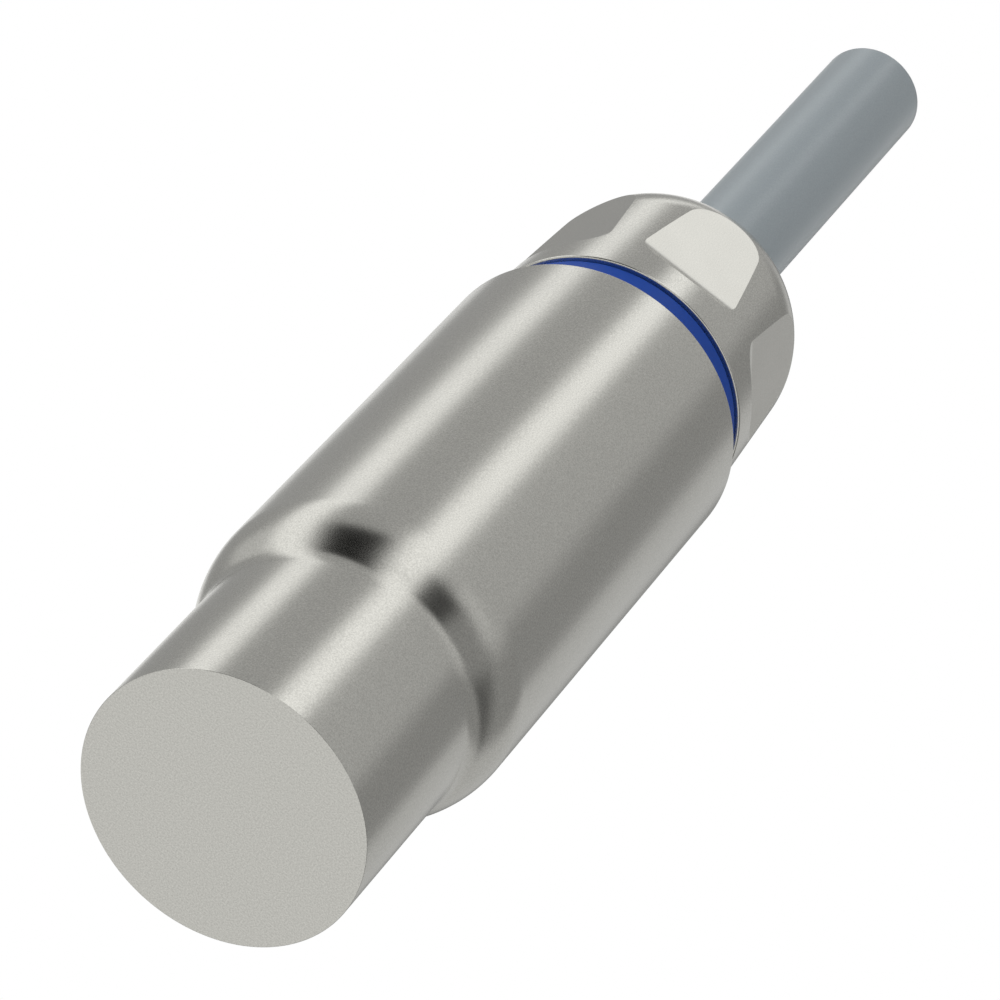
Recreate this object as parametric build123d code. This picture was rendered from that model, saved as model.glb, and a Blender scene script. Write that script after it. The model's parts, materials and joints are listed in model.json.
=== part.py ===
from build123d import *
from math import cos, radians, sin, sqrt, tan
import os

# Ultrasonic sensor, in millimetres. The origin is the centre of the flat sensing face,
# which the sensor stands on, and +Z runs along the axis to the cable.

# Housing, outside
barrel_dia = 18.0
front_dia = 15.6
shoulder_end = 16.0
shoulder_round = 6.1
shoulder_fillet = 2.5
barrel_end = 44.4
face_edge = 0.1
barrel_edge = 0.12

# Housing, inside
face_wall = 1.0
sleeve_wall = 1.0
barrel_wall = 1.2
step_inset = 2.0
step_length = 2.5
plug_length = 6.4
plug_wall = 1.0

# Seal ring between barrel and cap, set in from the cap's rim
ring_width = 2.43
ring_inset = 0.22
ring_wall = 1.08
ring_undercut = 0.35
ring_edge = 0.1

# Rear cap, set in from the barrel, with spanner flats milled into its rim's radius
cap_inset = 0.7
cap_taper_deg = 2.9
cap_cone_length = 8.52
dome_radius = 5.75
cap_rear_land = 0.5
cap_rim_edge = 0.12
cap_mouth_round = 0.4
relief_depth = 0.25
relief_length = 1.5
flat_depth = 0.8
flat_count = 6
flat_offset = 3.81
flat_hollow = 2.5

# Neck for the cap's thread, M12 with a pitch of 1 mm
thread_dia = 12.0
thread_length = 6.0
thread_depth = 0.55
land_length = 1.5
land_relief = 0.1
neck_wall = 0.9
neck_chamfer = 0.25

# Cable and its seal
cable_dia = 6.3
cable_end = 89.0
jacket_wall = 0.8
cable_cut_edge = 0.12
jacket_recess = 2.0
throat_dia = 5.2
grommet_length = 4.5
grommet_depth = 0.5
grommet_ribs = 3
rib_groove = 0.25
mouth_flare = 0.3
mouth_length = 2.0
collet_flange = 1.25
collet_inset = 0.15
finger_length = 2.4
finger_count = 8
finger_slot = 0.5
finger_taper = 0.35
washer_thick = 0.75
washer_room = 0.35

# Inner seal on the plug, squeezed to flats on the groove's floor and the barrel
seal_section = 1.13
seal_width = 1.2
seal_corner = 0.3
seal_groove_width = 1.5
seal_inset = 3.0

# Cable cores, and the pads on the board that they are soldered to
core_dia = 1.24
copper_dia = 0.72
core_circle_dia = 2.7
core_straight = 0.5
core_room = 3.2
core_lap = 2.0
bare_end = 0.7
pad_pitch = 2.6

# Transducer
bond_room = 0.1
bond_thick = 0.4
disc_room = 0.6
disc_thick = 2.0
holder_height = 5.5
holder_wall = 1.15
damper_height = 6.0
damper_chamfer = 0.6
lead_dia = 0.6
lead_spacing = 7.2
lead_lap = 1.6

# Board and its carrier
board_thick = 1.0
board_corner = 0.6
slot_wall = 0.55
slot_clearance = 0.05
carrier_wall = 1.05
carrier_ring = 1.8
carrier_tail = 0.6
carrier_rail = 4.4
carrier_stop = 0.85
potting_length = 6.0

# Layout of the parts on the board
board_margin = 2.0
row_gap = 0.4
transformer_inset = 1.0
amplifier_offset = 1.6
probe_offset = 1.6
crystal_offset = 1.3

# Moulded chips on the board
chip_stand_off = 0.15
leg_reach = 0.7
leg_thick = 0.2
micro_width = 4.4
micro_length = 5.0
micro_height = 1.1
micro_leg = 0.25
micro_pins = 8
amplifier_width = 3.9
amplifier_length = 4.9
amplifier_height = 1.6
amplifier_leg = 0.42
amplifier_pins = 4
probe_width = 1.3
probe_length = 2.9
probe_height = 1.0
probe_leg = 0.4
probe_pins = 2

# Other parts on the board
end_cap_lip = 0.04
end_cap_share = 0.22
capacitor_width = 1.25
capacitor_length = 2.0
capacitor_height = 1.2
resistor_width = 0.8
resistor_length = 1.6
resistor_height = 0.45
reservoir_width = 2.8
reservoir_length = 3.5
reservoir_height = 1.9
crystal_width = 2.5
crystal_length = 3.2
crystal_height = 0.8
crystal_corner = 0.4
transformer_width = 6.0
transformer_length = 5.6
transformer_height = 4.0
transformer_leg = 1.0
transformer_leg_height = 2.6

# Clearances
press_gap = 0.02
seat_gap = 0.05
turn_gap = 0.05
ring_gap = 0.05
spigot_fit = 0.08
cable_gap = 0.15
thrust_gap = 0.1
spigot_gap = 0.2
chip_gap = 0.05

# Radii and stations that follow from the sizes above
barrel_r = barrel_dia / 2
front_r = front_dia / 2
bore_r = barrel_r - barrel_wall
plug_r = barrel_r - plug_wall
sleeve_bore_r = front_r - sleeve_wall
plug_seat = barrel_end - plug_length
shoulder_reach = shoulder_fillet + shoulder_round
shoulder_rise = barrel_r - front_r
shoulder_length = sqrt(shoulder_reach ** 2 - (shoulder_reach - shoulder_rise) ** 2)
shoulder_start = shoulder_end - shoulder_length
step_start = shoulder_end - step_inset
step_end = step_start + step_length
cap_front = barrel_end + ring_width + 2 * ring_gap
cap_rim_r = barrel_r - cap_inset
flat_r = cap_rim_r - flat_depth
flat_start = cap_front + flat_offset
ring_r = cap_rim_r - ring_inset
ring_bore_r = ring_r - ring_wall
spigot_r = ring_bore_r - spigot_fit
thread_r = thread_dia / 2
neck_r = thread_r - thread_depth
cap_bore_r = thread_r - turn_gap
land_r = cap_bore_r - turn_gap
land_end = barrel_end + land_length
thread_start = land_end + land_relief
neck_end = thread_start + thread_length
cable_r = cable_dia / 2
jacket_bore_r = cable_r - jacket_wall
cable_bore_r = cable_r + cable_gap
cap_rear_r = cable_bore_r + cap_mouth_round + cap_rear_land
grommet_bore_r = neck_r - neck_wall
grommet_r = grommet_bore_r - seat_gap
grommet_seat = barrel_end + grommet_depth
jacket_seat = plug_seat + jacket_recess
collet_r = neck_r - collet_inset
collet_seat = neck_end + seat_gap
washer_r = cap_bore_r - washer_room
washer_seat = collet_seat + collet_flange + seat_gap
cap_shoulder = washer_seat + washer_thick + thrust_gap
holder_r = sleeve_bore_r - seat_gap
holder_bore_r = holder_r - holder_wall
disc_start = face_wall + bond_thick
damper_start = disc_start + disc_thick
lead_height = board_thick / 2 + lead_dia / 2
carrier_r = bore_r - seat_gap
carrier_start = step_end + seat_gap
board_start = carrier_start + carrier_stop
board_end = plug_seat - core_room
board_width = 2 * (carrier_r - slot_wall - slot_clearance)
potting_start = plug_seat - potting_length


def turned(outline):
    """Solid turned about the axis from an outline in radius and height."""
    return revolve(Plane.XZ * make_face(outline), Axis.Z)


def tube(outer, inner, start, end):
    """Plain tube along the axis."""
    return turned(Polyline((inner, start), (outer, start), (outer, end), (inner, end), close=True))


def rod(radius, x, y, start, end):
    """Plain round rod parallel to the axis."""
    return Pos(x, y, start) * Cylinder(radius, end - start, align=(Align.CENTER, Align.CENTER, Align.MIN))


def make_housing():
    """One steel shell: closed face, slim sleeve, S-curved shoulder and barrel, open at the rear."""
    share = shoulder_fillet / shoulder_reach
    turn = (
        front_r + shoulder_fillet - share * (shoulder_reach - shoulder_rise),
        shoulder_start + share * shoulder_length,
    )
    outline = Polyline((0, 0), (front_r - face_edge, 0), (front_r, face_edge), (front_r, shoulder_start))
    outline += TangentArc((front_r, shoulder_start), turn, tangent=(0, 1))
    outline += TangentArc((barrel_r, shoulder_end), turn, tangent=(0, -1))
    outline += Polyline(
        (barrel_r, shoulder_end),
        (barrel_r, barrel_end - barrel_edge),
        (barrel_r - barrel_edge, barrel_end),
        (plug_r, barrel_end),
        (plug_r, plug_seat),
        (bore_r, plug_seat),
        (bore_r, step_end),
        (sleeve_bore_r, step_start),
        (sleeve_bore_r, face_wall),
        (0, face_wall),
        (0, 0),
    )
    return turned(outline)


def make_gland_body():
    """Bushing in the barrel: grooved plug, locating land and the neck for the cap's thread."""
    outer = plug_r - press_gap
    groove_floor = plug_r - seal_section
    groove_start = plug_seat + seal_inset - seal_groove_width / 2
    groove_end = groove_start + seal_groove_width
    outline = Polyline(
        (throat_dia / 2, plug_seat),
        (outer - neck_chamfer, plug_seat),
        (outer, plug_seat + neck_chamfer),
        (outer, groove_start),
        (groove_floor, groove_start),
        (groove_floor, groove_end),
        (outer, groove_end),
        (outer, barrel_end),
        (land_r, barrel_end),
        (land_r, land_end),
        (neck_r, land_end),
        (neck_r, neck_end - neck_chamfer),
        (neck_r - neck_chamfer, neck_end),
        (grommet_bore_r + mouth_flare, neck_end),
        (grommet_bore_r, neck_end - mouth_length),
        (grommet_bore_r, grommet_seat),
        (cable_bore_r, grommet_seat),
        (cable_bore_r, jacket_seat),
        (throat_dia / 2, jacket_seat),
        close=True,
    )
    return turned(outline)


def make_housing_seal():
    """O-ring in the plug's groove, squeezed between the groove's floor and the barrel."""
    inner = plug_r - seal_section + press_gap / 2
    outer = plug_r - press_gap / 2
    middle = plug_seat + seal_inset
    start = middle - seal_width / 2
    end = middle + seal_width / 2
    outline = Polyline(
        (inner + seal_corner, start),
        (outer - seal_corner, start),
        (outer, start + seal_corner),
        (outer, end - seal_corner),
        (outer - seal_corner, end),
        (inner + seal_corner, end),
        (inner, end - seal_corner),
        (inner, start + seal_corner),
        close=True,
    )
    return turned(outline)


def make_seal_ring():
    """Blue ring in the groove between barrel and cap, undercut on the cap's side."""
    start = barrel_end + ring_gap
    end = start + ring_width
    outline = Polyline(
        (ring_bore_r, start),
        (ring_r - ring_edge, start),
        (ring_r, start + ring_edge),
        (ring_r, end - ring_undercut),
        (ring_r - ring_undercut, end),
        (ring_bore_r, end),
        close=True,
    )
    return turned(outline)


def flat_cutter(top):
    """Milling cut for one spanner flat, facing +X, that runs out in a hollow at its front end."""
    outer = flat_r + flat_hollow
    front = (outer, flat_start - flat_hollow)
    outline = Polyline((flat_r, flat_start), (flat_r, top), (outer, top), front)
    outline += TangentArc(front, (flat_r, flat_start), tangent=(-1, 0))
    return extrude(Plane.XZ * make_face(outline), amount=cap_rim_r, both=True)


def make_gland_cap():
    """Domed rear cap: spigot for the seal ring, threaded bore, cable hole and milled flats."""
    taper = radians(cap_taper_deg)
    rim_end = cap_front + cap_rim_edge
    dome_start = cap_front + cap_cone_length
    dome_r = cap_rim_r - (dome_start - rim_end) * tan(taper)
    centre_r = dome_r - dome_radius * cos(taper)
    centre_z = dome_start - dome_radius * sin(taper)
    top = centre_z + sqrt(dome_radius ** 2 - (cap_rear_r - centre_r) ** 2)
    spigot_front = barrel_end + spigot_gap
    hole_r = cable_bore_r
    outline = Polyline(
        (cap_bore_r, spigot_front),
        (spigot_r, spigot_front),
        (spigot_r, cap_front),
        (cap_rim_r - cap_rim_edge, cap_front),
        (cap_rim_r, rim_end),
        (dome_r, dome_start),
    )
    outline += TangentArc((dome_r, dome_start), (cap_rear_r, top), tangent=(-sin(taper), cos(taper)))
    outline += Line((cap_rear_r, top), (hole_r + cap_mouth_round, top))
    outline += TangentArc((hole_r + cap_mouth_round, top), (hole_r, top - cap_mouth_round), tangent=(-1, 0))
    outline += Polyline(
        (hole_r, top - cap_mouth_round),
        (hole_r, cap_shoulder),
        (cap_bore_r + relief_depth, cap_shoulder),
        (cap_bore_r + relief_depth, cap_shoulder - relief_length),
        (cap_bore_r, cap_shoulder - relief_length - relief_depth),
        (cap_bore_r, spigot_front),
    )
    cap = turned(outline)
    for k in range(flat_count):
        cap -= Rot(0, 0, k * 360 / flat_count - 90) * flat_cutter(top)
    return cap


def make_grommet():
    """Rubber sleeve that seals on the cable, with ribs round its outside."""
    inner = cable_r + press_gap
    pitch = grommet_length / grommet_ribs
    start = grommet_seat
    points = [(inner, start), (grommet_r, start)]
    for k in range(1, grommet_ribs):
        middle = start + k * pitch
        points.append((grommet_r, middle - rib_groove))
        points.append((grommet_r - rib_groove, middle))
        points.append((grommet_r, middle + rib_groove))
    end = start + grommet_length
    points.append((grommet_r, end - rib_groove))
    points.append((grommet_r - rib_groove, end))
    points.append((inner + rib_groove, end))
    points.append((inner, end - rib_groove))
    return turned(Polyline(*points, close=True))


def make_collet():
    """Clamping collet: a flange on the neck's rim and fingers that reach into its mouth."""
    inner = cable_r + seat_gap
    finger_r = grommet_bore_r - seat_gap
    tip = collet_seat - finger_length
    outline = Polyline(
        (inner, tip),
        (finger_r - finger_taper, tip),
        (finger_r, collet_seat),
        (collet_r, collet_seat),
        (collet_r, collet_seat + collet_flange),
        (inner, collet_seat + collet_flange),
        close=True,
    )
    collet = turned(outline)
    slot = Pos(finger_r, 0, tip + finger_length / 2) * Box(2 * finger_r, finger_slot, finger_length)
    for k in range(finger_count):
        collet -= Rot(0, 0, k * 360 / finger_count) * slot
    return collet


def make_jacket():
    """Cable jacket, seated in the plug and cut square at its far end."""
    outline = Polyline(
        (jacket_bore_r, jacket_seat),
        (cable_r, jacket_seat),
        (cable_r, cable_end - cable_cut_edge),
        (cable_r - cable_cut_edge, cable_end),
        (jacket_bore_r, cable_end),
        close=True,
    )
    return turned(outline)


def core_places():
    """Middle of each core in the cable."""
    circle = core_circle_dia / 2
    angles = [radians(90 + 72 * k) for k in range(5)]
    return [(circle * cos(a), circle * sin(a)) for a in angles]


def pad_places():
    """Place on the board that each core is soldered to, in the same order."""
    rise = board_thick / 2 + core_dia / 2
    half = pad_pitch / 2
    return [(0, rise), (-pad_pitch, rise), (-half, -rise), (half, -rise), (pad_pitch, rise)]


def core_path(place, pad, lap):
    """Run of a core: straight through the cable, then over to its pad on the board."""
    leave = plug_seat - core_straight
    land = board_end + core_straight
    return Polyline((*place, cable_end), (*place, leave), (*pad, land), (*pad, board_end - lap))


def swept(path, radius):
    """Round rod along a core's run, with plain corners that the potting hides."""
    section = Plane(path @ 0, z_dir=path % 0) * Circle(radius)
    return sweep(section, path=path, transition=Transition.RIGHT)


def make_cores():
    """The five insulated cores, each a tube round its copper, and their coppers."""
    sleeves = []
    coppers = []
    for place, pad in zip(core_places(), pad_places()):
        copper = swept(core_path(place, pad, core_lap + bare_end), copper_dia / 2)
        sleeves.append(swept(core_path(place, pad, core_lap), core_dia / 2) - copper)
        coppers.append(copper)
    return sleeves, coppers


def make_filler():
    """Filler between the cores and the jacket."""
    filler = rod(jacket_bore_r - press_gap, 0, 0, jacket_seat, cable_end)
    for x, y in core_places():
        filler -= rod(core_dia / 2 + press_gap, x, y, jacket_seat, cable_end)
    return filler


def make_damper():
    """Damping block behind the transducer disc, with two holes for the leads."""
    outer = holder_bore_r - seat_gap
    end = damper_start + damper_height
    outline = Polyline(
        (0, damper_start),
        (outer, damper_start),
        (outer, end - damper_chamfer),
        (outer - damper_chamfer, end),
        (0, end),
        close=True,
    )
    damper = turned(outline)
    for side in (-1, 1):
        damper -= rod(lead_dia / 2 + seat_gap, side * lead_spacing / 2, lead_height, damper_start, end)
    return damper


def make_leads():
    """Two wires from the transducer disc, laid on the board's front end."""
    end = board_start + lead_lap
    return [rod(lead_dia / 2, side * lead_spacing / 2, lead_height, damper_start, end) for side in (-1, 1)]


def board_room(end):
    """Room for the board, with its clearance all round, from its front end to a given height."""
    width = board_width + 2 * slot_clearance
    thick = board_thick + 2 * slot_clearance
    length = end - board_start
    return Pos(0, 0, board_start + length / 2) * Box(width, thick, length)


def make_carrier():
    """Plastic cradle: a ring at each end and two slotted rails between them."""
    end = board_end + carrier_tail
    inner = carrier_r - carrier_wall
    carrier = tube(carrier_r, inner, carrier_start, end)
    window = end - carrier_start - 2 * carrier_ring
    middle = (carrier_start + end) / 2
    for side in (-1, 1):
        carrier -= Pos(0, side * (carrier_rail + barrel_r) / 2, middle) * Box(barrel_dia, barrel_r, window)
    return carrier - board_room(plug_seat)


def make_board():
    """Circuit board with clipped corners."""
    length = board_end - board_start
    board = Pos(0, 0, board_start + length / 2) * Box(board_width, board_thick, length)
    return chamfer(board.edges().filter_by(Axis.Y), board_corner)


def on_board(part, x, z, side):
    """Place a part made flat on its foot, on the board's front (1) or back (-1)."""
    turn = -90 if side > 0 else 90
    return Pos(x, side * board_thick / 2, z) * Rot(turn, 0, 0) * part


def raised_box(width, length, low, high):
    """Box between two heights above its foot."""
    return Pos(0, 0, (low + high) / 2) * Box(width, length, high - low)


def chip(width, length, height, pins, pin_width):
    """Moulded chip with a row of legs down each long side."""
    body = raised_box(width, length, chip_stand_off, height)
    body = chamfer(body.edges().group_by(Axis.Z)[-1], leg_thick)
    pitch = length / pins
    for k in range(pins):
        along = (k - (pins - 1) / 2) * pitch
        foot = raised_box(width + 2 * leg_reach, pin_width, 0, chip_stand_off + leg_thick)
        body += Pos(0, along, 0) * foot
    return body


def chip_block(width, length, height):
    """Chip resistor or capacitor: a block with a thicker metal cap at each end."""
    block = raised_box(width - 2 * end_cap_lip, length, end_cap_lip, height - end_cap_lip)
    for side in (-1, 1):
        end_cap = raised_box(width, length * end_cap_share, 0, height)
        block += Pos(0, side * length * (1 - end_cap_share) / 2, 0) * end_cap
    return block


def make_transformer():
    """Pulse transformer: a closed ferrite frame with a winding on its middle leg."""
    height = transformer_height
    leg = transformer_leg
    low = (height - transformer_leg_height) / 2
    wide = transformer_width - 2 * leg
    long = transformer_length - 2 * leg
    frame = raised_box(transformer_width, transformer_length, 0, height)
    frame -= raised_box(wide, long, 0, height)
    frame += raised_box(2 * leg, transformer_length, low, height - low)
    coil = raised_box(wide - 2 * chip_gap, long - 2 * chip_gap, chip_gap, height - chip_gap)
    coil = chamfer(coil.edges().filter_by(Axis.Y), leg / 3)
    coil -= raised_box(2 * (leg + chip_gap), transformer_length, low - chip_gap, height - low + chip_gap)
    return frame, coil


def write(name, shape):
    """Write one node, a single solid or a group of separate ones."""
    solids = shape if isinstance(shape, list) else [shape]
    flat = [solid for item in solids for solid in item.solids()]
    export_step(flat[0] if len(flat) == 1 else Compound(children=flat), f"parts/{name}.step")


def paired(part, width, length, start):
    """Four like parts on the board's front, two behind each other at each long edge."""
    x = board_width / 2 - board_margin - width / 2
    first = start + length / 2
    heights = (first, first + length + row_gap)
    return [on_board(part, side * x, z, 1) for side in (-1, 1) for z in heights]


def front_parts():
    """Parts on the board's front, in rows that start behind the transducer's leads."""
    first_row = board_start + lead_lap + row_gap
    second_row = first_row + crystal_length + row_gap
    resistor_row = first_row + 2 * (capacitor_length + row_gap)
    row_middle = first_row + crystal_length / 2
    can = raised_box(crystal_width, crystal_length, 0, crystal_height)
    can = fillet(can.edges().filter_by(Axis.Z), crystal_corner)
    probe = chip(probe_width, probe_length, probe_height, probe_pins, probe_leg)
    micro = chip(micro_width, micro_length, micro_height, micro_pins, micro_leg)
    capacitor = chip_block(capacitor_width, capacitor_length, capacitor_height)
    resistor = chip_block(resistor_width, resistor_length, resistor_height)
    return {
        "temperature_sensor": on_board(probe, -probe_offset, row_middle, 1),
        "crystal": on_board(can, crystal_offset, row_middle, 1),
        "microcontroller": on_board(micro, 0, second_row + micro_length / 2, 1),
        "chip_capacitors": paired(capacitor, capacitor_width, capacitor_length, first_row),
        "chip_resistors": paired(resistor, resistor_width, resistor_length, resistor_row),
    }


def back_parts():
    """Parts on the board's back: the transformer, and the drive stage behind it."""
    frame, coil = make_transformer()
    middle = board_start + transformer_inset + transformer_length / 2
    drive_row = middle + transformer_length / 2 + row_gap
    amplifier = chip(amplifier_width, amplifier_length, amplifier_height, amplifier_pins, amplifier_leg)
    reservoir = chip_block(reservoir_width, reservoir_length, reservoir_height)
    reservoir_x = board_width / 2 - board_margin - reservoir_width / 2
    return {
        "transformer_core": on_board(frame, 0, middle, -1),
        "transformer_winding": on_board(coil, 0, middle, -1),
        "drive_amplifier": on_board(amplifier, -amplifier_offset, drive_row + amplifier_length / 2, -1),
        "storage_capacitor": on_board(reservoir, reservoir_x, drive_row + reservoir_length / 2, -1),
    }


def make_potting(items):
    """Compound that fills the rear of the shell round the board's end and the cores."""
    potting = rod(carrier_r, 0, 0, potting_start, plug_seat)
    for item in items:
        potting -= item
    return potting


os.makedirs("parts", exist_ok=True)

sleeves, coppers = make_cores()
carrier = make_carrier()
components = {**front_parts(), **back_parts()}
in_potting = [carrier, board_room(board_end + slot_clearance), *sleeves, *coppers]
for part in components.values():
    in_potting.extend(part if isinstance(part, list) else [part])

nodes = {
    "housing": make_housing(),
    "seal_ring": make_seal_ring(),
    "gland_cap": make_gland_cap(),
    "gland_body": make_gland_body(),
    "housing_o_ring": make_housing_seal(),
    "cable_grommet": make_grommet(),
    "clamping_collet": make_collet(),
    "thrust_washer": tube(washer_r, cable_bore_r, washer_seat, washer_seat + washer_thick),
    "cable_jacket": make_jacket(),
    "cable_filler": make_filler(),
    "core_coppers": coppers,
    "bonding_layer": rod(holder_bore_r - bond_room, 0, 0, face_wall, disc_start),
    "piezo_disc": rod(holder_bore_r - disc_room, 0, 0, disc_start, damper_start),
    "transducer_holder": tube(holder_r, holder_bore_r, face_wall, face_wall + holder_height),
    "damping_block": make_damper(),
    "transducer_leads": make_leads(),
    "board_carrier": carrier,
    "main_board": make_board(),
    "potting": make_potting(in_potting),
    **components,
}
for colour, sleeve in zip(("brown", "white", "blue", "black", "grey"), sleeves):
    nodes[f"core_{colour}"] = sleeve

for name, shape in nodes.items():
    write(name, shape)
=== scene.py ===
"""Ultrasonic sensor: turned steel shell, screw cap, blue seal, cable and the studio round them."""
import json
from math import acos, atan2, cos, degrees, pi, radians, sin, tan

import bmesh
import bpy
from bpy.props import FloatProperty, FloatVectorProperty, IntProperty, PointerProperty
from mathutils import Matrix, Vector


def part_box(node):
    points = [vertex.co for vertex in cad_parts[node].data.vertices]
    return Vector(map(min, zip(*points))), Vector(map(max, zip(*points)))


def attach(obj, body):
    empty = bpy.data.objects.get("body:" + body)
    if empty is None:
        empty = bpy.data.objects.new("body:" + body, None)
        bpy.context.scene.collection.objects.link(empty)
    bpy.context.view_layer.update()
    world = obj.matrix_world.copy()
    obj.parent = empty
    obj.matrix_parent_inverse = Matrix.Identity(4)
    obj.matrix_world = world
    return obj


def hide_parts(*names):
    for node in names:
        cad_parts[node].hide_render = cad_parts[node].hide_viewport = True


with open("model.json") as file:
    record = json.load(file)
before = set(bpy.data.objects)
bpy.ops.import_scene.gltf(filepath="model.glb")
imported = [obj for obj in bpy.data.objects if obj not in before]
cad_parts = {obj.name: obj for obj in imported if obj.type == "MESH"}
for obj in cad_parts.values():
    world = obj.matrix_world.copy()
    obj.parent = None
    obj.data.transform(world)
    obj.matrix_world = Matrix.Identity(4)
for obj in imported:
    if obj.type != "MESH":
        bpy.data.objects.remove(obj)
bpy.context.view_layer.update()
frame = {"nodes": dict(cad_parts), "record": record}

bl_info = {
    "name": "Ultrasonic Sensor",
    "version": (1, 0, 0),
    "blender": (4, 5, 0),
    "location": "3D Viewport > Sidebar > Sensor",
    "description": "Builds and finishes the visible pieces of a cylindrical ultrasonic sensor",
    "category": "Object",
}

RECORD = frame["record"]
MM = 0.001
MERGE_DISTANCE = 1e-7
SHARP_ANGLE = radians(15)
EDGE_STEPS = 8

# Room between pieces that fit each other, wall of the seal ring, and half of a thread ridge's root
FIT_GAP = 0.05 * MM
PRESS_GAP = 0.02 * MM
RING_WALL = 1.08 * MM
RIDGE_ROOT = 0.3 * MM

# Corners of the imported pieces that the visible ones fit
HOUSING_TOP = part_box("housing")[1]
RING_LOW, RING_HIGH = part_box("seal_ring")
CAP_LOW, CAP_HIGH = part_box("gland_cap")
BODY_LOW, BODY_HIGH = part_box("gland_body")
JACKET_LOW, JACKET_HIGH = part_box("cable_jacket")
HOLDER_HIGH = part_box("transducer_holder")[1]
CARRIER_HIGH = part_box("board_carrier")[1]
MOUNT_RADII = {row["name"]: row["dims"].get("r_mm", 0) * MM for row in RECORD["mounts"]}


class ShellSizes(bpy.types.PropertyGroup):
    """Sizes of the turned steel shell."""

    barrel_radius: FloatProperty(
        name="Barrel radius", description="Outer radius of the barrel",
        default=HOUSING_TOP.x, subtype="DISTANCE", unit="LENGTH", precision=5)
    sleeve_radius: FloatProperty(
        name="Sleeve radius", description="Outer radius of the slim front sleeve",
        default=MOUNT_RADII["front_sleeve"], subtype="DISTANCE", unit="LENGTH", precision=5)
    shoulder_end: FloatProperty(
        name="Shoulder end", description="Height at which the shoulder meets the barrel",
        default=16.0 * MM, subtype="DISTANCE", unit="LENGTH", precision=5)
    shoulder_fillet: FloatProperty(
        name="Shoulder fillet", description="Radius of the hollow curve beside the sleeve",
        default=2.5 * MM, subtype="DISTANCE", unit="LENGTH", precision=5)
    shoulder_round: FloatProperty(
        name="Shoulder round", description="Radius of the crowned curve beside the barrel",
        default=6.1 * MM, subtype="DISTANCE", unit="LENGTH", precision=5)
    face_edge: FloatProperty(
        name="Face edge", description="Radius of the fine edge round the sensing face",
        default=0.04 * MM, subtype="DISTANCE", unit="LENGTH", precision=6)
    edge_round: FloatProperty(
        name="Edge round", description="Radius of the broken edges of the steel",
        default=0.12 * MM, subtype="DISTANCE", unit="LENGTH", precision=5)
    steps: IntProperty(
        name="Steps", description="Facets round a turned piece", default=192, min=24, max=512)


class CapSizes(bpy.types.PropertyGroup):
    """Sizes of the screw cap and the thread that it runs on."""

    taper: FloatProperty(
        name="Taper", description="Slope of the cap's side towards the cable",
        default=radians(2.9), subtype="ANGLE", unit="ROTATION")
    cone_length: FloatProperty(
        name="Cone length", description="Length of the tapered side, from the rim to the dome",
        default=8.52 * MM, subtype="DISTANCE", unit="LENGTH", precision=5)
    dome_radius: FloatProperty(
        name="Dome radius", description="Radius of the domed end",
        default=5.75 * MM, subtype="DISTANCE", unit="LENGTH", precision=5)
    mouth_round: FloatProperty(
        name="Mouth round", description="Radius of the rounded mouth round the cable",
        default=0.4 * MM, subtype="DISTANCE", unit="LENGTH", precision=5)
    rear_land: FloatProperty(
        name="Rear land", description="Width of the flat rear face between dome and mouth",
        default=0.5 * MM, subtype="DISTANCE", unit="LENGTH", precision=5)
    flat_radius: FloatProperty(
        name="Flat distance", description="Distance of a spanner flat from the axis",
        default=7.5 * MM, subtype="DISTANCE", unit="LENGTH", precision=5)
    flat_offset: FloatProperty(
        name="Flat offset", description="Height above the cap's rim at which the flats begin",
        default=3.81 * MM, subtype="DISTANCE", unit="LENGTH", precision=5)
    flat_hollow: FloatProperty(
        name="Flat hollow", description="Radius of the hollow in which a flat runs out",
        default=2.5 * MM, subtype="DISTANCE", unit="LENGTH", precision=5)
    flat_count: IntProperty(
        name="Flats", description="Number of spanner flats", default=6, min=3, max=12)
    thread_pitch: FloatProperty(
        name="Thread pitch", description="Rise of the thread in one turn",
        default=1.0 * MM, subtype="DISTANCE", unit="LENGTH", precision=5)


class Finishes(bpy.types.PropertyGroup):
    """Colours of the finishes that show."""

    steel: FloatVectorProperty(
        name="Steel", description="Colour of the blasted stainless steel",
        default=(0.63, 0.623, 0.588), size=3, min=0, max=1, subtype="COLOR")
    seal: FloatVectorProperty(
        name="Seal", description="Colour of the seal ring",
        default=(0.006, 0.045, 0.27), size=3, min=0, max=1, subtype="COLOR")
    jacket: FloatVectorProperty(
        name="Jacket", description="Colour of the cable's jacket",
        default=(0.236, 0.268, 0.286), size=3, min=0, max=1, subtype="COLOR")
    floor: FloatVectorProperty(
        name="Floor", description="Colour of the studio floor",
        default=(0.86, 0.86, 0.85), size=3, min=0, max=1, subtype="COLOR")


class StudioSettings(bpy.types.PropertyGroup):
    """Camera and light levels."""

    lens: FloatProperty(
        name="Lens", description="Focal length of the camera in millimetres",
        default=202.77, unit="CAMERA")
    fill: FloatProperty(
        name="Fill", description="Strength of the even light on painted and plastic surfaces",
        default=0.42, min=0, max=2, subtype="FACTOR")
    lamp_power: FloatProperty(
        name="Lamp power", description="Power of each soft lamp",
        default=1.0, min=0, subtype="POWER", unit="POWER")


def arc(centre, radius, start, end, steps):
    """Points of an arc in radius and height, with angles in radians from the outward direction."""
    angles = [start + (end - start) * k / steps for k in range(steps + 1)]
    return [(centre[0] + radius * cos(a), centre[1] + radius * sin(a)) for a in angles]


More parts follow.
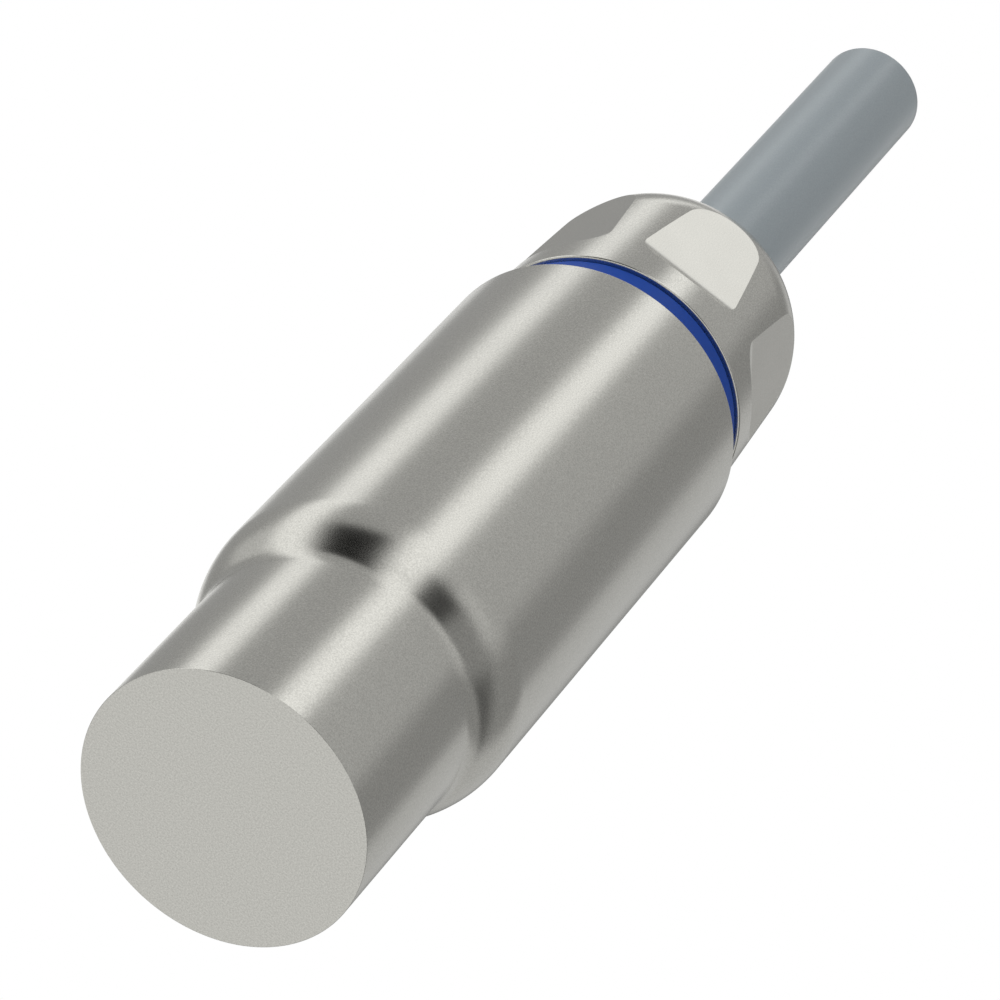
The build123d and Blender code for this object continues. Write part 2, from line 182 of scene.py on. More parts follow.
def piece_from(name, shape, material, body=None, replaces=()):
    """Finished object from a bmesh: shaded, given its material and tied to its body."""
    mesh = bpy.data.meshes.new(name)
    shape.to_mesh(mesh)
    shape.free()
    mesh.materials.append(material)
    mesh.shade_smooth()
    mesh.set_sharp_from_angle(angle=SHARP_ANGLE)
    piece = bpy.data.objects.new(name, mesh)
    bpy.context.scene.collection.objects.link(piece)
    if body:
        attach(piece, body)
    if replaces:
        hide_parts(*replaces)
    return piece


def turned(outline, steps):
    """Closed shape turned about the axis. An outline that ends on the axis stays open there."""
    shape = bmesh.new()
    verts = [shape.verts.new((radius, 0, height)) for radius, height in outline]
    edges = [shape.edges.new(pair) for pair in zip(verts, verts[1:])]
    if outline[0][0] > 0:
        edges.append(shape.edges.new((verts[-1], verts[0])))
    bmesh.ops.spin(shape, geom=verts + edges, axis=(0, 0, 1), cent=(0, 0, 0), dvec=(0, 0, 0),
                   angle=2 * pi, steps=steps, use_merge=True)
    bmesh.ops.remove_doubles(shape, verts=shape.verts, dist=MERGE_DISTANCE)
    bmesh.ops.recalc_face_normals(shape, faces=shape.faces)
    return shape


def helix(root, tip, root_half, tip_half, start, turns, pitch, steps):
    """Thread ridge between two radii, wound about the axis and closed at both ends."""
    shape = bmesh.new()
    section = ((root, -root_half), (tip, -tip_half), (tip, tip_half), (root, root_half))
    verts = [shape.verts.new((radius, 0, start + height)) for radius, height in section]
    edges = [shape.edges.new(pair) for pair in zip(verts, verts[1:] + verts[:1])]
    bmesh.ops.spin(shape, geom=verts + edges, axis=(0, 0, 1), cent=(0, 0, 0),
                   dvec=(0, 0, pitch / steps), angle=2 * pi * turns, steps=round(steps * turns))
    rims = [edge for edge in shape.edges if edge.is_boundary]
    bmesh.ops.holes_fill(shape, edges=rims, sides=4)
    bmesh.ops.recalc_face_normals(shape, faces=shape.faces)
    return shape


class Surface:
    """Node tree of one finish, with the few texture steps that the finishes share."""

    def __init__(self, name):
        self.material = bpy.data.materials.new(name)
        self.material.use_nodes = True
        self.tree = self.material.node_tree
        self.shader = self.tree.nodes["Principled BSDF"]
        self.place = self.tree.nodes.new("ShaderNodeTexCoord").outputs["Object"]

    def node(self, kind, values=(), **settings):
        """New node with its settings, and its input sockets filled or linked in order."""
        made = self.tree.nodes.new(kind)
        for name, value in settings.items():
            setattr(made, name, value)
        for key, value in dict(values).items():
            if isinstance(value, bpy.types.NodeSocket):
                self.tree.links.new(value, made.inputs[key])
            else:
                made.inputs[key].default_value = value
        return made

    def stretched(self, scale, turn=(0, 0, 0)):
        """Object coordinates drawn out by a scale on each axis."""
        return self.node("ShaderNodeMapping", {"Vector": self.place, "Scale": scale,
                                               "Rotation": turn}).outputs[0]

    def noise(self, scale, detail=3.0, vector=None):
        """Even noise of about 1 / scale metres."""
        values = {"Vector": vector or self.place, "Scale": scale, "Detail": detail}
        return self.node("ShaderNodeTexNoise", values).outputs[0]

    def waves(self, scale, distortion, direction="Z"):
        """Bands across an axis."""
        values = {"Vector": self.place, "Scale": scale, "Distortion": distortion}
        return self.node("ShaderNodeTexWave", values, bands_direction=direction).outputs[1]

    def spread(self, value, low, high):
        """A texture's middle range as a value between low and high."""
        values = {"Value": value, "From Min": 0.3, "From Max": 0.7, "To Min": low, "To Max": high}
        return self.node("ShaderNodeMapRange", values).outputs[0]

    def colour(self, value, base, change):
        """Base colour that a texture makes darker and lighter by a share of itself."""
        dark = [c * (1 - change) for c in base] + [1]
        light = [min(1, c * (1 + change)) for c in base] + [1]
        mixed = self.node("ShaderNodeMix", {0: value, 6: dark, 7: light}, data_type="RGBA")
        self.tree.links.new(mixed.outputs[2], self.shader.inputs["Base Color"])

    def rough(self, value, low, high):
        """Roughness that a texture moves between two values."""
        self.tree.links.new(self.spread(value, low, high), self.shader.inputs["Roughness"])

    def bump(self, *layers):
        """Surface relief from layers of (height texture, depth in metres)."""
        normal = None
        for height, depth in layers:
            values = {"Height": height, "Distance": depth}
            if normal:
                values["Normal"] = normal
            normal = self.node("ShaderNodeBump", values).outputs[0]
        self.tree.links.new(normal, self.shader.inputs["Normal"])


def blasted_steel(colour):
    """Satin stainless steel, fine blasted, with faint cloudiness."""
    steel = Surface("blasted_steel")
    steel.shader.inputs["Metallic"].default_value = 1.0
    grain = steel.noise(11000, 2.0)
    cloud = steel.noise(160, 4.0)
    steel.colour(steel.spread(grain, 0, 1), colour, 0.135)
    steel.rough(cloud, 0.2, 0.23)
    steel.bump((grain, 1.6e-6), (steel.noise(3500, 2.0), 1.0e-6))
    return steel.material


def milled_steel(colour):
    """Flat-milled steel, smoother than the blasted surface, with faint cutter lines."""
    steel = Surface("milled_steel")
    steel.shader.inputs["Metallic"].default_value = 1.0
    grain = steel.noise(12000, 2.0)
    steel.colour(steel.spread(grain, 0, 1), colour, 0.055)
    steel.rough(steel.noise(400), 0.2, 0.23)
    steel.bump((steel.waves(900, 1.5), 2e-7), (grain, 3e-7))
    return steel.material


def threaded_steel(colour):
    """Cut steel under the cap: brighter, with fine rings from the lathe."""
    steel = Surface("threaded_steel")
    steel.shader.inputs["Metallic"].default_value = 1.0
    lathe = steel.waves(2600, 0.4)
    steel.colour(lathe, colour, 0.04)
    steel.rough(steel.noise(900), 0.2, 0.27)
    steel.bump((lathe, 8e-7))
    return steel.material


def seal_rubber(colour):
    """Smooth blue elastomer with a faint bloom."""
    rubber = Surface("seal_rubber")
    rubber.shader.inputs["IOR"].default_value = 1.25
    bloom = rubber.noise(700, 4.0)
    rubber.colour(bloom, colour, 0.12)
    rubber.rough(bloom, 0.38, 0.48)
    rubber.bump((rubber.noise(9000, 2.0), 1.5e-6))
    return rubber.material


def jacket_plastic(colour):
    """Satin extruded jacket: fine grain, with its sheen in faint lines along the cable."""
    plastic = Surface("jacket_plastic")
    plastic.shader.inputs["IOR"].default_value = 1.5
    lines = plastic.noise(1500, 0.0, plastic.stretched((1, 1, 0.02)))
    grain = plastic.noise(12000, 2.0)
    plastic.colour(plastic.spread(grain, 0, 1), colour, 0.07)
    plastic.rough(lines, 0.28, 0.33)
    plastic.bump((grain, 1.5e-6))
    return plastic.material


# Roughness range, grain per metre, relief in metres and colour change of each class of finish
CLASS_GRAIN = {
    "rubber": (0.55, 0.7, 5000, 3e-6, 0.18),
    "matte_plastic": (0.45, 0.55, 6000, 2e-6, 0.08),
    "gloss_plastic": (0.18, 0.28, 1800, 1.5e-6, 0.15),
    "ceramic": (0.3, 0.5, 9000, 2e-6, 0.12),
    "brass": (0.2, 0.32, 4000, 1.5e-6, 0.08),
    "aluminium": (0.22, 0.3, 5000, 1e-6, 0.05),
    "brushed_steel": (0.25, 0.35, 8000, 1.5e-6, 0.04),
}
METALS = ("brass", "aluminium", "brushed_steel")


def class_finish(row):
    """Finish of an inner piece, from the record's class and colour."""
    low, high, grain_size, depth, change = CLASS_GRAIN[row["class"]]
    made = Surface(row["slot"])
    made.shader.inputs["Metallic"].default_value = float(row["class"] in METALS)
    grain = made.noise(grain_size)
    made.colour(made.noise(grain_size / 12, 5.0), row["base_color"][:3], change)
    made.rough(grain, low, high)
    made.bump((grain, depth))
    return made.material


def board_lacquer(row):
    """Green solder mask over copper tracks that run along the board."""
    board = Surface(row["slot"])
    tracks = board.node("ShaderNodeTexBrick", {"Vector": board.stretched((1, 1, 1), (pi / 2, 0, 0)),
                        "Scale": 900.0, "Mortar Size": 0.03, "Bias": 0.0})
    board.colour(tracks.outputs[1], row["base_color"][:3], 0.35)
    board.rough(board.noise(1500), 0.2, 0.3)
    board.bump((tracks.outputs[1], 1.2e-5))
    return board.material


def winding_copper(row):
    """Enamelled wire laid side by side."""
    wire = Surface("winding_copper")
    wire.shader.inputs["Metallic"].default_value = 1.0
    turns = wire.waves(1600, 0.3, "X")
    wire.colour(turns, row["base_color"][:3], 0.25)
    wire.rough(wire.noise(3000), 0.22, 0.32)
    wire.bump((turns, 4e-5))
    return wire.material


def shell_outline(size):
    """Outline of the shell from the middle of the face, up the outside and down the inside."""
    reach = size.shoulder_fillet + size.shoulder_round
    lean = acos(1 - (size.barrel_radius - size.sleeve_radius) / reach)
    shoulder_start = size.shoulder_end - reach * sin(lean)
    edge = size.edge_round
    fine = size.face_edge
    plug_radius = BODY_HIGH.x + PRESS_GAP
    bore_radius = CARRIER_HIGH.x + FIT_GAP
    sleeve_bore = HOLDER_HIGH.x + FIT_GAP
    face_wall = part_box("bonding_layer")[0].z
    step_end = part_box("board_carrier")[0].z - FIT_GAP
    step_start = step_end - 2.5 * MM
    points = [(0, 0)]
    points += arc((size.sleeve_radius - fine, fine), fine, -pi / 2, 0, EDGE_STEPS)
    points += arc((size.sleeve_radius + size.shoulder_fillet, shoulder_start), size.shoulder_fillet,
                  pi, pi - lean, 14)
    points += arc((size.barrel_radius - size.shoulder_round, size.shoulder_end), size.shoulder_round,
                  -lean, 0, 24)[1:]
    points += arc((size.barrel_radius - edge, HOUSING_TOP.z - edge), edge, 0, pi / 2, EDGE_STEPS)
    points += [(plug_radius, HOUSING_TOP.z), (plug_radius, BODY_LOW.z), (bore_radius, BODY_LOW.z),
               (bore_radius, step_end), (sleeve_bore, step_start), (sleeve_bore, face_wall),
               (0, face_wall)]
    return points


class SENSOR_OT_housing(bpy.types.Operator):
    """Turn the steel shell: closed face, slim sleeve, S-curved shoulder and barrel"""

    bl_idname = "sensor.build_housing"
    bl_label = "Build Housing"

    def execute(self, context):
        size = context.scene.sensor_shell
        steel = blasted_steel(context.scene.sensor_finishes.steel)
        shape = turned(shell_outline(size), size.steps)
        piece_from("housing_shell", shape, steel, "sensor", ("housing",))
        return {"FINISHED"}


class SENSOR_OT_seal(bpy.types.Operator):
    """Turn the blue seal ring, with its undercut on the cap's side"""

    bl_idname = "sensor.build_seal"
    bl_label = "Build Seal Ring"

    def execute(self, context):
        outer = RING_HIGH.x
        inner = outer - RING_WALL
        lip = 0.1 * MM
        undercut = 0.16 * MM
        outline = [(inner, RING_LOW.z)]
        outline += arc((outer - lip, RING_LOW.z + lip), lip, -pi / 2, 0, EDGE_STEPS)
        outline += [(outer, RING_HIGH.z - undercut), (outer - undercut, RING_HIGH.z),
                    (inner, RING_HIGH.z)]
        shape = turned(outline, context.scene.sensor_shell.steps)
        rubber = seal_rubber(context.scene.sensor_finishes.seal)
        piece_from("seal_band", shape, rubber, "ring", ("seal_ring",))
        return {"FINISHED"}


def cap_outline(cap, edge):
    """Outline of the screw cap: spigot, rim, tapered side, dome, cable mouth and bore."""
    ring_room = 0.08 * MM
    cable_room = 0.15 * MM
    relief_depth, relief_length = 0.25 * MM, 1.5 * MM
    spigot = RING_HIGH.x - RING_WALL - ring_room
    bore = 5.95 * MM
    relief = bore + relief_depth
    front = RING_HIGH.z + FIT_GAP
    rim = CAP_HIGH.x
    shoulder = 54.2 * MM
    dome_start = front + cap.cone_length
    dome_edge = rim - (cap.cone_length - edge) * tan(cap.taper)
    centre = (dome_edge - cap.dome_radius * cos(cap.taper), dome_start - cap.dome_radius * sin(cap.taper))
    hole = JACKET_HIGH.x + cable_room
    rear = hole + cap.mouth_round + cap.rear_land
    points = [(bore, CAP_LOW.z), (spigot, CAP_LOW.z), (spigot, front)]
    points += arc((rim - edge, front + edge), edge, -pi / 2, 0, EDGE_STEPS)
    points += arc(centre, cap.dome_radius, cap.taper, acos((rear - centre[0]) / cap.dome_radius), 32)
    points += arc((hole + cap.mouth_round, CAP_HIGH.z - cap.mouth_round), cap.mouth_round, pi / 2, pi, 10)
    points += [(hole, shoulder), (relief, shoulder), (relief, shoulder - relief_length),
               (bore, shoulder - relief_length - relief_depth)]
    return points


def flat_cutters(cap):
    """One prism for each spanner flat, which runs out in a hollow at the flat's front end."""
    shape = bmesh.new()
    start = RING_HIGH.z + FIT_GAP + cap.flat_offset
    outer = cap.flat_radius + cap.flat_hollow
    top = CAP_HIGH.z + 1 * MM
    side_share = 0.98
    half = side_share * cap.flat_radius * tan(pi / cap.flat_count)
    outline = [(cap.flat_radius, top), (outer, top)]
    outline += arc((outer, start), cap.flat_hollow, -pi / 2, -pi, 48)
    for k in range(cap.flat_count):
        verts = [shape.verts.new((radius, -half, height)) for radius, height in outline]
        face = shape.faces.new(verts)
        made = bmesh.ops.extrude_face_region(shape, geom=[face], use_keep_orig=True)["geom"]
        far = [item for item in made if isinstance(item, bmesh.types.BMVert)]
        bmesh.ops.translate(shape, verts=far, vec=(0, 2 * half, 0))
        turn = Matrix.Rotation(2 * pi * k / cap.flat_count - pi / 2, 3, "Z")
        bmesh.ops.rotate(shape, verts=verts + far, cent=(0, 0, 0), matrix=turn)
    bmesh.ops.recalc_face_normals(shape, faces=shape.faces)
    return shape


def cut_away(piece, shape, finish):
    """Take a cutter's shape out of a piece for good, and give what it cuts a finish."""
    cutter = piece_from("cutter", shape, finish)
    cut = piece.modifiers.new("cut", "BOOLEAN")
    cut.operation = "DIFFERENCE"
    cut.solver = "EXACT"
    cut.material_mode = "TRANSFER"
    cut.object = cutter
    context = bpy.context
    context.view_layer.update()
    done = bpy.data.meshes.new_from_object(piece.evaluated_get(context.evaluated_depsgraph_get()))
    piece.modifiers.remove(cut)
    old = piece.data
    piece.data = done
    bpy.data.meshes.remove(old)
    bpy.data.meshes.remove(cutter.data)
    if len(done.materials) != 2:
        raise RuntimeError("the flats couldn't be cut")
    done.shade_smooth()
    done.set_sharp_from_angle(angle=SHARP_ANGLE)
    even = piece.modifiers.new("even_flats", "WEIGHTED_NORMAL")
    even.keep_sharp = True


class SENSOR_OT_cap(bpy.types.Operator):
    """Turn the domed screw cap, mill its six flats and cut its inner thread"""

    bl_idname = "sensor.build_cap"
    bl_label = "Build Screw Cap"

    def execute(self, context):
        scene = context.scene
        cap = scene.sensor_cap
        colour = scene.sensor_finishes.steel
        steps = scene.sensor_shell.steps
        shape = turned(cap_outline(cap, scene.sensor_shell.edge_round), steps)
        piece = piece_from("screw_cap", shape, bpy.data.materials["blasted_steel"], "cap",
                           ("gland_cap",))
        cut_away(piece, flat_cutters(cap), milled_steel(colour))
        root, crest, crest_half = 5.96 * MM, 5.63 * MM, 0.13 * MM
        start, turns = 46.9 * MM, 4
        thread = helix(root, crest, RIDGE_ROOT, crest_half, start, turns, cap.thread_pitch, steps // 2)
        piece_from("cap_thread", thread, threaded_steel(colour), "cap")
        return {"FINISHED"}


class SENSOR_OT_gland(bpy.types.Operator):
    """Turn the bushing in the barrel and wind the thread on its neck"""

    bl_idname = "sensor.build_gland"
    bl_label = "Build Gland Body"

    def execute(self, context):
        steps = context.scene.sensor_shell.steps
        plug = BODY_HIGH.x
        throat, cable_bore, bore, land, neck = 2.6 * MM, 3.3 * MM, 4.55 * MM, 5.9 * MM, 5.45 * MM
        groove_floor = 6.87 * MM
        seat = BODY_LOW.z
        throat_end = seat + 2 * MM
        groove_start, groove_end = seat + 2.25 * MM, seat + 3.75 * MM
        barrel_end = HOUSING_TOP.z
        bore_floor = barrel_end + 0.5 * MM
        land_end = barrel_end + 1.5 * MM
        top = BODY_HIGH.z
        cone_flare, cone_start = 0.3 * MM, top - 2 * MM
        chamfer = 0.25 * MM
        outline = [
            (throat, seat), (plug - chamfer, seat), (plug, seat + chamfer), (plug, groove_start),
            (groove_floor, groove_start), (groove_floor, groove_end), (plug, groove_end),
            (plug, barrel_end), (land, barrel_end), (land, land_end), (neck, land_end),
            (neck, top - chamfer), (neck - chamfer, top), (bore + cone_flare, top), (bore, cone_start),
            (bore, bore_floor), (cable_bore, bore_floor), (cable_bore, throat_end), (throat, throat_end),
        ]
        steel = bpy.data.materials["threaded_steel"]
        piece_from("gland_bushing", turned(outline, steps), steel, "sensor", ("gland_body",))
        pitch = context.scene.sensor_cap.thread_pitch
        root, crest, crest_half = neck - 0.01 * MM, 5.88 * MM, 0.08 * MM
        start, turns = 46.4 * MM, 5
        ridge = helix(root, crest, RIDGE_ROOT, crest_half, start, turns, pitch, steps // 2)
        piece_from("neck_thread", ridge, steel, "sensor")
        return {"FINISHED"}


class SENSOR_OT_jacket(bpy.types.Operator):
    """Turn the cable's jacket, with its cut edge barely broken"""

    bl_idname = "sensor.build_jacket"
    bl_label = "Build Cable Jacket"

    def execute(self, context):
        outer = JACKET_HIGH.x
        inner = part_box("cable_filler")[1].x + PRESS_GAP
        edge = 0.12 * MM
        outline = [(inner, JACKET_LOW.z), (outer, JACKET_LOW.z)]
        outline += arc((outer - edge, JACKET_HIGH.z - edge), edge, 0, pi / 2, EDGE_STEPS)
        outline.append((inner, JACKET_HIGH.z))
        shape = turned(outline, context.scene.sensor_shell.steps)
        plastic = jacket_plastic(context.scene.sensor_finishes.jacket)
        piece_from("jacket_sleeve", shape, plastic, "sensor", ("cable_jacket",))
        return {"FINISHED"}


class SENSOR_OT_strands(bpy.types.Operator):
    """Draw the seven copper strands of each core along the cable and over to the board"""

    bl_idname = "sensor.build_strands"
    bl_label = "Build Copper Strands"

    def execute(self, context):
        low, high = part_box("core_coppers")
        strand, strand_count = 0.118 * MM, 7
        leave, land = 37.5 * MM, 35.3 * MM
        pad, rise = 2.6 * MM, 1.12 * MM
        pads = ((0, rise), (-pad, rise), (-pad / 2, -rise), (pad / 2, -rise), (pad, rise))
        circle = 1.35 * MM
        shape = bmesh.new()
        for k, (pad_x, pad_y) in enumerate(pads):
            turn = radians(90 + 72 * k)
            middle = Vector((circle * cos(turn), circle * sin(turn), 0))
            stations = ((middle, high.z), (middle, leave), (Vector((pad_x, pad_y, 0)), land),
                        (Vector((pad_x, pad_y, 0)), low.z))
            for j in range(strand_count):
                ring = 2 * pi * j / (strand_count - 1)
                inset = Vector((cos(ring), sin(ring), 0)) * 2 * strand * (j > 0)
                self.draw_strand(shape, strand, [at + inset + Vector((0, 0, z)) for at, z in stations])
        bmesh.ops.recalc_face_normals(shape, faces=shape.faces)
        copper = class_finish(next(row for row in RECORD["materials"] if row["slot"] == "copper"))
        piece_from("copper_strands", shape, copper, "sensor", ("core_coppers",))
        return {"FINISHED"}

    @staticmethod
    def draw_strand(shape, radius, stations):
        """One round strand through its stations, closed at both ends."""
        start = Matrix.Translation(stations[0])
        disc = bmesh.ops.create_circle(shape, cap_ends=True, segments=10, radius=radius, matrix=start)
        verts = disc["verts"]
        face = verts[0].link_faces[0]
        keep = True
        for before, after in zip(stations, stations[1:]):
            made = bmesh.ops.extrude_face_region(shape, geom=[face], use_keep_orig=keep)["geom"]
            far = [item for item in made if isinstance(item, bmesh.types.BMVert)]
            bmesh.ops.translate(shape, verts=far, vec=after - before)
            face = next(item for item in made if isinstance(item, bmesh.types.BMFace))
            keep = False


class SENSOR_OT_inner(bpy.types.Operator):
    """Finish the pieces inside the shell and at the cable's cut end"""

    bl_idname = "sensor.finish_inner"
    bl_label = "Finish Inner Pieces"

    def execute(self, context):
        rows = {row["slot"]: row for row in RECORD["materials"]}
        finishes = {}
        for part in RECORD["subparts"]:
            node = frame["nodes"][part["node"]]
            slot = part["material_slot"]
            if node.hide_render:
                continue
            if part["node"] == "transformer_winding":
                material = winding_copper(rows[slot])
            elif slot == "board_green":
                material = board_lacquer(rows[slot])
            else:
                if slot not in finishes:
                    finishes[slot] = class_finish(rows[slot])
                material = finishes[slot]
            if not node.material_slots:
                node.data.materials.append(None)
            for holder in node.material_slots:
                holder.material = material
        return {"FINISHED"}


# Cards of the light tent: bearing from the camera's side, width, lowest and highest elevation and
# soft edge, in degrees, then the level of light and the distance in metres
CARDS = {
    "upper_wall": (0, 360, 20, 90, 0, 0.43, 0.60),
    "middle_wall": (0, 360, -25, 20, 0, 0.30, 0.60),
    "lower_wall": (0, 360, -90, -25, 0, 0.78, 0.60),
    "right_wall": (22, 84, 12, 86, 14, 0.49, 0.595),
    "shaded_wall": (83, 60, 12, 86, 14, 0.31, 0.59),
    "left_wall": (-130, 52, 12, 86, 10, 0.37, 0.59),
    "near_wall": (32, 42, 10, 36, 9, 0.60, 0.58),
    "low_wall": (-106, 46, -12, 34, 12, 0.62, 0.58),
    "low_flag": (88, 64, -22, 18, 12, 0.12, 0.58),
    "key_strip": (-13, 35, -20, 86, 12, 1.20, 0.57),
    "side_strip": (-84, 36, -20, 86, 12, 1.15, 0.57),
    "back_strip": (-163, 30, -30, 86, 10, 0.96, 0.57),
    "rear_wall": (170, 32, 0, 86, 8, 0.24, 0.585),
    "rim_strip": (128, 58, 0, 86, 14, 0.56, 0.57),
    "dark_flag": (-48, 40, -22, 25, 8, 0.0, 0.56),
    "long_flag": (11, 32, -26, 15, 8, 0.03, 0.56),
}
# Soft lamps: place in metres, and share of the lamp power
LAMPS = {
    "front_lamp": ((0.15, -0.45, 0.1), 1.0),
    "left_lamp": ((-0.4, -0.1, 0.15), 1.25),
    "top_lamp": ((0.1, 0.15, 0.5), 2.0),
}
LAMP_SIZE = 0.3
CAMERA_BEARING = radians(-84.6)
CAMERA_AWAY = 182.56 * MM
CAMERA_BELOW = 206.24 * MM


def glowing(name, level):
    """Lit card, with edges that fade where its cover attribute does."""
    material = bpy.data.materials.new(name)
    material.use_nodes = True
    tree = material.node_tree
    tree.nodes.remove(tree.nodes["Principled BSDF"])
    glow = tree.nodes.new("ShaderNodeEmission")
    glow.inputs["Color"].default_value = (level, level, level * 0.985, 1)
    cover = tree.nodes.new("ShaderNodeAttribute")
    cover.attribute_name = "cover"
    clear = tree.nodes.new("ShaderNodeBsdfTransparent")
    mixed = tree.nodes.new("ShaderNodeMixShader")
    tree.links.new(cover.outputs["Fac"], mixed.inputs[0])
    tree.links.new(clear.outputs[0], mixed.inputs[1])
    tree.links.new(glow.outputs[0], mixed.inputs[2])
    tree.links.new(mixed.outputs[0], tree.nodes["Material Output"].inputs["Surface"])
    return material


def fade_edges(card, bearing, width, low, high, soft):
    """Write how fully each place of a card covers what is behind it."""
    cover = card.data.attributes.new("cover", "FLOAT", "POINT")
    middle = Vector((cos(radians(bearing)), sin(radians(bearing)), 0))
    for k, vert in enumerate(card.data.vertices):
        flat = Vector((vert.co.x, vert.co.y, 0))
        aside = degrees(middle.angle(flat, 0))
        rise = degrees(atan2(vert.co.z, flat.length))
        margin = min(width / 2 - aside, rise - low, high - rise)
        share = min(1, max(0, margin / soft)) if soft else 1
        cover.data[k].value = share * share * (3 - 2 * share)


def stand_card(name, bearing, width, low, high, soft, level, distance):
    """Curved card of the light tent, which only reflections see."""
    shape = bmesh.new()
    points = arc((0, 0), distance, radians(low), radians(high), 32)
    verts = [shape.verts.new((radius, 0, height)) for radius, height in points]
    edges = [shape.edges.new(pair) for pair in zip(verts, verts[1:])]
    start = CAMERA_BEARING + radians(bearing - width / 2)
    bmesh.ops.rotate(shape, verts=verts, cent=(0, 0, 0), matrix=Matrix.Rotation(start, 3, "Z"))
    bmesh.ops.spin(shape, geom=verts + edges, axis=(0, 0, 1), cent=(0, 0, 0), dvec=(0, 0, 0),
                   angle=radians(width), steps=max(24, width // 4), use_merge=width == 360)
    card = piece_from(name, shape, glowing(name, level))
    fade_edges(card, bearing + degrees(CAMERA_BEARING), width, low, high, soft)
    card.visible_camera = False
    card.visible_diffuse = False
    card.visible_shadow = False
    card.visible_transmission = False


def lay_floor(colour):
    """Pale floor that shows from above only, keeps the sensor's shadow and ends in white."""
    floor = Surface("pale_floor")
    floor.shader.inputs["Roughness"].default_value = 0.8
    floor.colour(floor.noise(6), colour, 0.01)
    away = floor.node("ShaderNodeVectorMath", {0: floor.place}, operation="LENGTH").outputs["Value"]
    fade = floor.node("ShaderNodeMapRange", {"Value": away, "From Min": 0.12, "From Max": 0.4},
                      interpolation_type="SMOOTHSTEP").outputs[0]
    white = floor.node("ShaderNodeEmission").outputs[0]
    far = floor.node("ShaderNodeMixShader", {0: fade, 1: floor.shader.outputs[0], 2: white}).outputs[0]
    clear = floor.node("ShaderNodeBsdfTransparent").outputs[0]
    below = floor.node("ShaderNodeNewGeometry").outputs["Backfacing"]
    mixed = floor.node("ShaderNodeMixShader", {0: below, 1: far, 2: clear})
    floor.tree.links.new(mixed.outputs[0], floor.tree.nodes["Material Output"].inputs["Surface"])
    shape = bmesh.new()
    bmesh.ops.create_grid(shape, x_segments=1, y_segments=1, size=0.5,
                          matrix=Matrix.Translation((0, 0, -0.02 * MM)))
    plane = piece_from("studio_floor", shape, floor.material)
    plane.visible_glossy = False
    plane.visible_diffuse = False
    plane.visible_shadow = False


def light_world(fill):
    """White surroundings for the camera and reflections, and an even fill for the rest."""
    world = bpy.data.worlds.new("studio")
    world.use_nodes = True
    bpy.context.scene.world = world
    tree = world.node_tree
    white = tree.nodes["Background"]
    white.inputs["Color"].default_value = (1, 1, 1, 1)
    even = tree.nodes.new("ShaderNodeBackground")
    even.inputs["Color"].default_value = (fill, fill, fill, 1)
    path = tree.nodes.new("ShaderNodeLightPath")
    seen = path.outputs["Is Camera Ray"]
    for ray in ("Is Glossy Ray", "Is Transmission Ray"):
        either = tree.nodes.new("ShaderNodeMath")
        either.operation = "MAXIMUM"
        tree.links.new(seen, either.inputs[0])
        tree.links.new(path.outputs[ray], either.inputs[1])
        seen = either.outputs[0]
    mixed = tree.nodes.new("ShaderNodeMixShader")
    tree.links.new(seen, mixed.inputs[0])
    tree.links.new(even.outputs[0], mixed.inputs[1])
    tree.links.new(white.outputs[0], mixed.inputs[2])
    tree.links.new(mixed.outputs[0], tree.nodes["World Output"].inputs["Surface"])


def hang_lamp(name, place, power):
    """Soft square lamp that faces the middle of the sensor."""
    lamp = bpy.data.lights.new(name, "AREA")
    lamp.energy = power
    lamp.size = LAMP_SIZE
    holder = bpy.data.objects.new(name, lamp)
    bpy.context.scene.collection.objects.link(holder)
    middle = Vector((0, 0, JACKET_HIGH.z / 2))
    holder.location = place
    holder.rotation_euler = (middle - holder.location).to_track_quat("-Z", "Y").to_euler()
    holder.visible_glossy = False


def set_camera(lens):
    """Camera at the photograph's view: below the sensing face, a little to the right, rolled."""
    near = Vector((0.0941, -0.9956, 0))
    side = Vector((0.9956, 0.0941, 0))
    up = Vector((0, 0, 1))
    right_axis = 0.53401 * near + 0.74104 * side + 0.40706 * up
    up_axis = 0.58968 * near - 0.67146 * side + 0.44879 * up
    back_axis = right_axis.cross(up_axis)
    turn = Matrix((right_axis, up_axis, back_axis)).transposed()
    camera = bpy.data.objects.new("camera", bpy.data.cameras.new("camera"))
    camera.data.lens = lens
    camera.data.sensor_width = 36
    camera.data.clip_start = 0.01
    camera.location = CAMERA_AWAY * near - CAMERA_BELOW * up
    camera.rotation_euler = turn.to_euler()
    bpy.context.scene.collection.objects.link(camera)
    bpy.context.scene.camera = camera


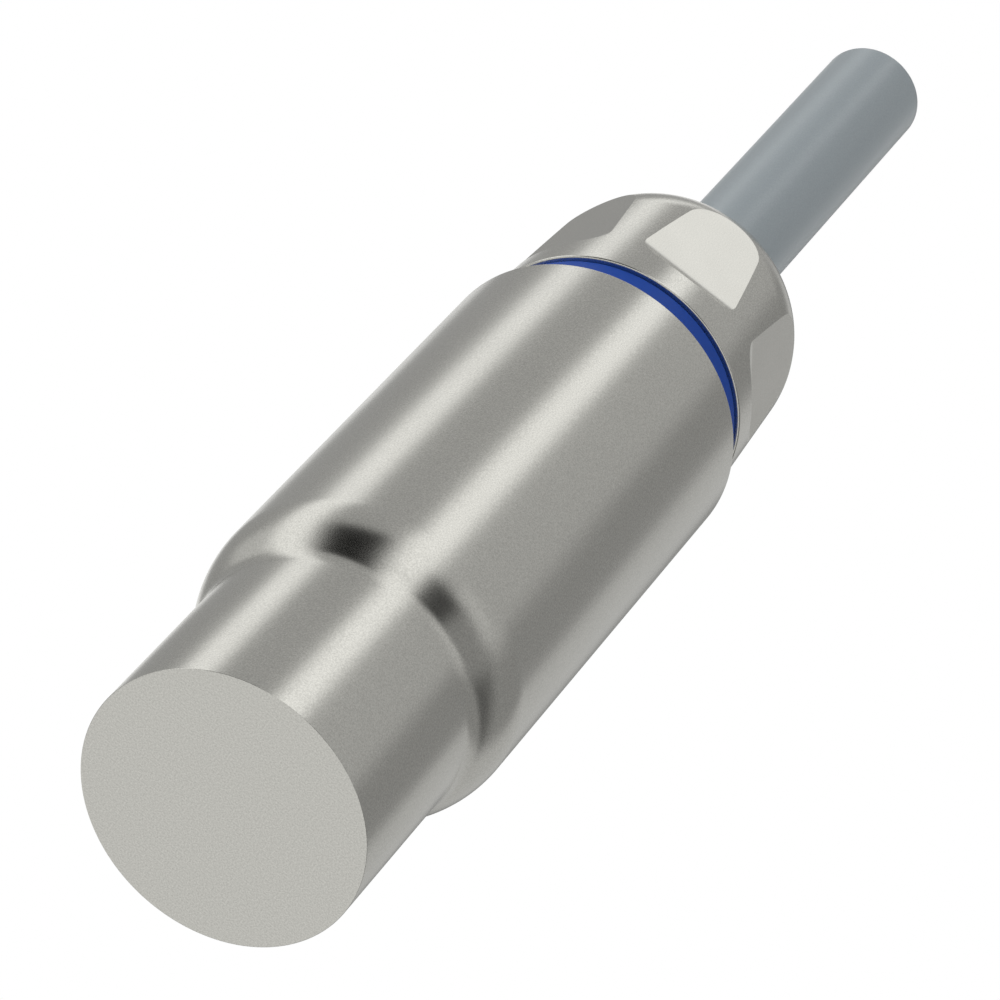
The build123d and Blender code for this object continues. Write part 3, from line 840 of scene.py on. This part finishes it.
class SENSOR_OT_studio(bpy.types.Operator):
    """Set up the camera, the light tent, the lamps and the pale floor"""

    bl_idname = "sensor.set_studio"
    bl_label = "Set Up Studio"

    def execute(self, context):
        studio = context.scene.sensor_studio
        context.scene.view_settings.view_transform = "Standard"
        set_camera(studio.lens)
        light_world(studio.fill)
        lay_floor(context.scene.sensor_finishes.floor)
        for name, facts in CARDS.items():
            stand_card(name, *facts)
        for name, (place, share) in LAMPS.items():
            hang_lamp(name, place, studio.lamp_power * share)
        return {"FINISHED"}


class SENSOR_PT_panel(bpy.types.Panel):
    """Sidebar panel with the sensor's steps and sizes"""

    bl_idname = "SENSOR_PT_panel"
    bl_label = "Ultrasonic Sensor"
    bl_space_type = "VIEW_3D"
    bl_region_type = "UI"
    bl_category = "Sensor"

    def draw(self, context):
        for group in ("sensor_shell", "sensor_cap", "sensor_finishes", "sensor_studio"):
            settings = getattr(context.scene, group)
            for name in settings.__annotations__:
                self.layout.prop(settings, name)
        for operator in OPERATORS:
            self.layout.operator(operator.bl_idname)


GROUPS = {
    "sensor_shell": ShellSizes,
    "sensor_cap": CapSizes,
    "sensor_finishes": Finishes,
    "sensor_studio": StudioSettings,
}
OPERATORS = (
    SENSOR_OT_studio,
    SENSOR_OT_housing,
    SENSOR_OT_seal,
    SENSOR_OT_cap,
    SENSOR_OT_gland,
    SENSOR_OT_jacket,
    SENSOR_OT_strands,
    SENSOR_OT_inner,
)


def register():
    for group in (*GROUPS.values(), *OPERATORS, SENSOR_PT_panel):
        bpy.utils.register_class(group)
    for name, group in GROUPS.items():
        setattr(bpy.types.Scene, name, PointerProperty(type=group))


def unregister():
    for name in GROUPS:
        delattr(bpy.types.Scene, name)
    for group in reversed((*GROUPS.values(), *OPERATORS, SENSOR_PT_panel)):
        bpy.utils.unregister_class(group)


def main():
    """Build everything in order."""
    register()
    bpy.ops.sensor.set_studio()
    bpy.ops.sensor.build_housing()
    bpy.ops.sensor.build_seal()
    bpy.ops.sensor.build_cap()
    bpy.ops.sensor.build_gland()
    bpy.ops.sensor.build_jacket()
    bpy.ops.sensor.build_strands()
    bpy.ops.sensor.finish_inner()


if __name__ == "__main__":
    main()
